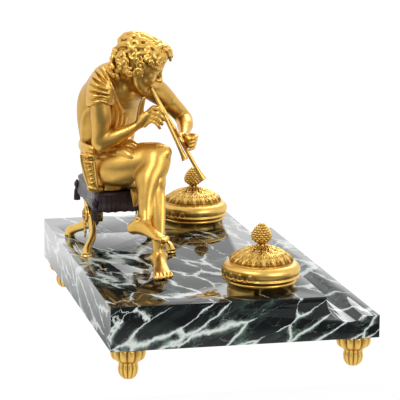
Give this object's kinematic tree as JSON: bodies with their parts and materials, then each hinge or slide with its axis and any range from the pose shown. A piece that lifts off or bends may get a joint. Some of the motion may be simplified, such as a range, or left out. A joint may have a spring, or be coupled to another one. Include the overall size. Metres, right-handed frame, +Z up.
{
  "type": "desk inkstand",
  "caption": "Marble desk inkstand with a pen groove, hinged round inkwells and a gilt figure who sits on a crossed-leg stool and plays a double pipe.",
  "frame": {"origin": "the surface it stands on, below the middle of the marble slab", "axes": "+Z up, X along the slab's long side, -Y towards the pen groove at the front"},
  "size_m": [0.33, 0.22, 0.2604],
  "materials": {
    "marble": "polished, nearly black green with white and pale green veins",
    "gilt_bronze": "fire-gilt, satin with burnished highlights",
    "dark_bronze": "dark brown patina",
    "steel": "plain screws and pins",
    "porcelain": "white glaze"
  },
  "bodies": {
    "base": {"marble_slab": "marble", "foot_front_left": "gilt_bronze", "foot_front_right": "gilt_bronze", "foot_back_left": "gilt_bronze", "foot_back_right": "gilt_bronze", "foot_studs": "steel", "left_well_collar": "gilt_bronze", "right_well_collar": "gilt_bronze", "left_inkpot": "porcelain", "right_inkpot": "porcelain", "left_hinge_pin": "steel", "right_hinge_pin": "steel", "stool_cushion": "dark_bronze", "cushion_tassels": "dark_bronze", "stool_leg_back_left": "gilt_bronze", "stool_leg_back_right": "gilt_bronze", "stool_leg_front_left": "gilt_bronze", "stool_leg_front_right": "gilt_bronze", "stool_hub_back": "gilt_bronze", "stool_hub_front": "gilt_bronze", "stool_hub_nuts": "gilt_bronze", "stool_foot_screws": "steel", "seat_bolt": "steel", "seat_washer": "steel", "figure_tunic": "gilt_bronze", "figure_head": "gilt_bronze", "figure_right_arm": "gilt_bronze", "figure_left_arm": "gilt_bronze", "figure_right_leg": "gilt_bronze", "figure_left_leg": "gilt_bronze", "figure_foot_screw": "steel", "tunic_tail": "gilt_bronze", "tunic_front_fold": "gilt_bronze", "long_pipe": "gilt_bronze", "short_pipe": "gilt_bronze"},
    "left_lid": {"left_lid": "gilt_bronze", "left_finial": "gilt_bronze", "left_finial_nut": "gilt_bronze"},
    "right_lid": {"right_lid": "gilt_bronze", "right_finial": "gilt_bronze", "right_finial_nut": "gilt_bronze"}
  },
  "joints": [
    {"name": "left_lid_hinge", "type": "hinge", "parent": "base", "child": "left_lid", "pos_m": [-0.1216, 0.0081, 0.07095], "axis": [-1, 0, 0], "range_deg": [0, 95]},
    {"name": "right_lid_hinge", "type": "hinge", "parent": "base", "child": "right_lid", "pos_m": [0.1216, 0.0081, 0.07095], "axis": [-1, 0, 0], "range_deg": [0, 95]}
  ]
}
